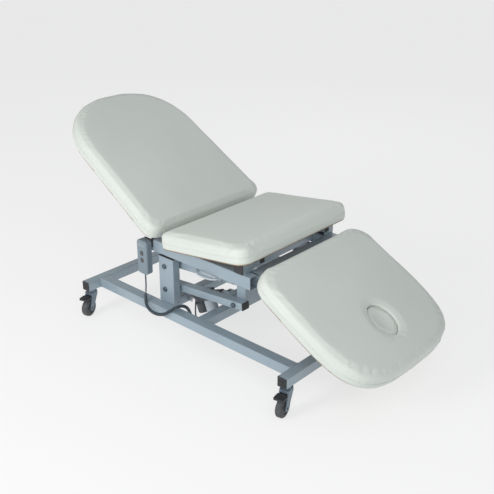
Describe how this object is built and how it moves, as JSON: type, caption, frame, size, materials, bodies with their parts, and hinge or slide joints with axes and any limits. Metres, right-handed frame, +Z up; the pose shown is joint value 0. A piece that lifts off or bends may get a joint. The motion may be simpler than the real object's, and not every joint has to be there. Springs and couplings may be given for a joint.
{
  "type": "medical exam table",
  "caption": "Three-section mobile examination couch with tilting back and leg sections, powered height lift, braked castors and a corded hand control.",
  "frame": {"origin": "floor under the middle of the bounding box", "axes": "+X from the head end to the foot end, +Y to the far side, +Z up"},
  "size_m": [1.6401, 0.8378, 0.8404],
  "materials": {
    "frame_paint": "satin",
    "black_plastic": "matte",
    "board_wood": "matte",
    "vinyl": "satin",
    "steel": "satin",
    "motor_plastic": "satin",
    "gear_plastic": "satin",
    "castor_tyre": "matte",
    "castor_plate": "satin",
    "handset_plastic": "matte",
    "button_plastic": "matte",
    "cord_rubber": "satin"
  },
  "bodies": {
    "base": {"base_beam_near": "frame_paint", "base_beam_far": "frame_paint", "base_cross_tubes": "frame_paint", "base_cross_bars": "frame_paint", "posts": "frame_paint", "base_caps": "black_plastic", "post_pivot_bolts": "steel", "actuator_clevis": "steel", "control_box": "black_plastic", "motor_cable": "cord_rubber"},
    "lower_lift": {"lower_arms": "frame_paint", "lower_arm_cross_tube": "frame_paint", "lower_arm_caps": "black_plastic"},
    "upper_lift": {"upper_arms": "frame_paint", "upper_arm_caps": "black_plastic"},
    "actuator": {"actuator_gearbox": "gear_plastic", "actuator_motor": "motor_plastic", "actuator_tube": "gear_plastic"},
    "actuator_ram": {"actuator_rod": "steel"},
    "top_frame": {"side_rails": "frame_paint", "top_cross_rails": "frame_paint", "hanging_brackets": "frame_paint", "bracket_pivot_bolts": "steel", "hinge_lugs": "frame_paint", "frame_caps": "black_plastic", "seat_board": "board_wood", "seat_cushion": "vinyl", "seat_supports": "frame_paint", "strut_lugs": "frame_paint", "handset_shell": "handset_plastic", "handset_hook": "black_plastic", "handset_cord": "cord_rubber", "curly_cord": "cord_rubber"},
    "release": {"release_handle": "motor_plastic"},
    "up_button": {"button_up": "button_plastic"},
    "down_button": {"button_down": "button_plastic"},
    "back": {"back_board": "board_wood", "back_cushion": "vinyl", "back_frame": "frame_paint"},
    "leg": {"leg_board": "board_wood", "leg_cushion": "vinyl", "leg_frame": "frame_paint"},
    "plug": {"breathing_plug": "vinyl"},
    "back_strut_body": {"back_strut_cylinder": "gear_plastic"},
    "back_strut_ram": {"back_strut_rod": "steel"},
    "leg_strut_body": {"leg_strut_cylinder": "gear_plastic"},
    "leg_strut_ram": {"leg_strut_rod": "steel"},
    "fork_near_head": {"castor_fork_near_head": "castor_plate"},
    "wheel_near_head": {"castor_wheel_near_head": "castor_tyre"},
    "pedal_near_head": {"castor_pedal_near_head": "black_plastic"},
    "fork_near_foot": {"castor_fork_near_foot": "castor_plate"},
    "wheel_near_foot": {"castor_wheel_near_foot": "castor_tyre"},
    "pedal_near_foot": {"castor_pedal_near_foot": "black_plastic"},
    "fork_far_head": {"castor_fork_far_head": "castor_plate"},
    "wheel_far_head": {"castor_wheel_far_head": "castor_tyre"},
    "pedal_far_head": {"castor_pedal_far_head": "black_plastic"},
    "fork_far_foot": {"castor_fork_far_foot": "castor_plate"},
    "wheel_far_foot": {"castor_wheel_far_foot": "castor_tyre"},
    "pedal_far_foot": {"castor_pedal_far_foot": "black_plastic"}
  },
  "joints": [
    {"name": "lift", "type": "hinge", "parent": "base", "child": "lower_lift", "pos_m": [-0.17855, 0, 0.206], "axis": [0, -1, 0], "range_deg": [0, 58], "deforming": ["handset_cord", "curly_cord"]},
    {"name": "parallel", "type": "hinge", "parent": "base", "child": "upper_lift", "pos_m": [-0.17855, 0, 0.306], "axis": [0, -1, 0], "range_deg": [0, 58]},
    {"name": "level", "type": "hinge", "parent": "lower_lift", "child": "top_frame", "pos_m": [0.15242, 0, 0.23787], "axis": [0, -1, 0], "range_deg": [-58, 0]},
    {"name": "actuator_swing", "type": "hinge", "parent": "base", "child": "actuator", "pos_m": [-0.13955, 0, 0.148], "axis": [0, -1, 0], "range_deg": [0, 56]},
    {"name": "actuator_stroke", "type": "slide", "parent": "actuator", "child": "actuator_ram", "axis": [0.9242, 0, 0.3819], "range_m": [0, 0.068]},
    {"name": "swivel_near_head", "type": "hinge", "parent": "base", "child": "fork_near_head", "pos_m": [-0.54955, -0.355, 0.1], "axis": [0, 0, 1], "continuous": true},
    {"name": "roll_near_head", "type": "hinge", "parent": "fork_near_head", "child": "wheel_near_head", "pos_m": [-0.54195, -0.37986, 0.0375], "axis": [0.9563, 0.2924, 0], "continuous": true},
    {"name": "brake_near_head", "type": "hinge", "parent": "fork_near_head", "child": "pedal_near_head", "pos_m": [-0.54546, -0.36839, 0.088], "axis": [0.9563, 0.2924, 0], "range_deg": [0, 10]},
    {"name": "swivel_near_foot", "type": "hinge", "parent": "base", "child": "fork_near_foot", "pos_m": [0.51845, -0.355, 0.1], "axis": [0, 0, 1], "continuous": true},
    {"name": "roll_near_foot", "type": "hinge", "parent": "fork_near_foot", "child": "wheel_near_foot", "pos_m": [0.52386, -0.38043, 0.0375], "axis": [0.9781, 0.2079, 0], "continuous": true},
    {"name": "brake_near_foot", "type": "hinge", "parent": "fork_near_foot", "child": "pedal_near_foot", "pos_m": [0.52136, -0.36869, 0.088], "axis": [0.9781, 0.2079, 0], "range_deg": [0, 10]},
    {"name": "swivel_far_head", "type": "hinge", "parent": "base", "child": "fork_far_head", "pos_m": [-0.54955, 0.355, 0.1], "axis": [0, 0, 1], "continuous": true},
    {"name": "roll_far_head", "type": "hinge", "parent": "fork_far_head", "child": "wheel_far_head", "pos_m": [-0.54195, 0.37986, 0.0375], "axis": [-0.9563, 0.2924, 0], "continuous": true},
    {"name": "brake_far_head", "type": "hinge", "parent": "fork_far_head", "child": "pedal_far_head", "pos_m": [-0.54546, 0.36839, 0.088], "axis": [-0.9563, 0.2924, 0], "range_deg": [0, 10]},
    {"name": "swivel_far_foot", "type": "hinge", "parent": "base", "child": "fork_far_foot", "pos_m": [0.51845, 0.355, 0.1], "axis": [0, 0, 1], "continuous": true},
    {"name": "roll_far_foot", "type": "hinge", "parent": "fork_far_foot", "child": "wheel_far_foot", "pos_m": [0.52386, 0.38043, 0.0375], "axis": [-0.9781, 0.2079, 0], "continuous": true},
    {"name": "brake_far_foot", "type": "hinge", "parent": "fork_far_foot", "child": "pedal_far_foot", "pos_m": [0.52136, 0.36869, 0.088], "axis": [-0.9781, 0.2079, 0], "range_deg": [0, 10]},
    {"name": "back_tilt", "type": "hinge", "parent": "top_frame", "child": "back", "pos_m": [-0.18255, 0, 0.43], "axis": [0, 1, 0], "range_deg": [-31.1, 22]},
    {"name": "leg_tilt", "type": "hinge", "parent": "top_frame", "child": "leg", "pos_m": [0.29645, 0, 0.393], "axis": [0, -1, 0], "range_deg": [-12, 29]},
    {"name": "plug_lift", "type": "slide", "parent": "leg", "child": "plug", "axis": [0.4848, 0, 0.8746], "range_m": [0, 0.08]},
    {"name": "release_pull", "type": "hinge", "parent": "top_frame", "child": "release", "pos_m": [0.05545, -0.257, 0.346], "axis": [-1, 0, 0], "range_deg": [0, 12], "stiffness_Nm_per_rad": 1.5},
    {"name": "press_up", "type": "slide", "parent": "top_frame", "child": "up_button", "axis": [0, 1, 0], "range_m": [0, 0.0015], "stiffness_N_per_m": 1500},
    {"name": "press_down", "type": "slide", "parent": "top_frame", "child": "down_button", "axis": [0, 1, 0], "range_m": [0, 0.0015], "stiffness_N_per_m": 1500},
    {"name": "back_strut_swing", "type": "hinge", "parent": "top_frame", "child": "back_strut_body", "pos_m": [-0.23155, 0, 0.33], "axis": [0, 1, 0], "range_deg": [-28, 19.9]},
    {"name": "back_strut_stroke", "type": "slide", "parent": "back_strut_body", "child": "back_strut_ram", "axis": [-0.6855, 0, 0.7281], "range_m": [-0.0579, 0.041]},
    {"name": "leg_strut_swing", "type": "hinge", "parent": "top_frame", "child": "leg_strut_body", "pos_m": [0.25045, 0, 0.29], "axis": [0, -1, 0], "range_deg": [-6.3, 14.9]},
    {"name": "leg_strut_stroke", "type": "slide", "parent": "leg_strut_body", "child": "leg_strut_ram", "axis": [0.9627, 0, 0.2707], "range_m": [-0.017, 0.0407]}
  ],
  "couplings": [
    {"joint": "parallel", "follows": "lift", "ratio": 1},
    {"joint": "level", "follows": "lift", "ratio": -1},
    {"joint": "actuator_swing", "follows": "lift", "ratio": 0.954},
    {"joint": "actuator_stroke", "follows": "lift", "m_per_rad": 0.0669},
    {"joint": "back_strut_swing", "follows": "back_tilt", "ratio": 0.89},
    {"joint": "back_strut_stroke", "follows": "back_tilt", "m_per_rad": 0.1061},
    {"joint": "leg_strut_swing", "follows": "leg_tilt", "ratio": 0.503},
    {"joint": "leg_strut_stroke", "follows": "leg_tilt", "m_per_rad": 0.0799}
  ]
}
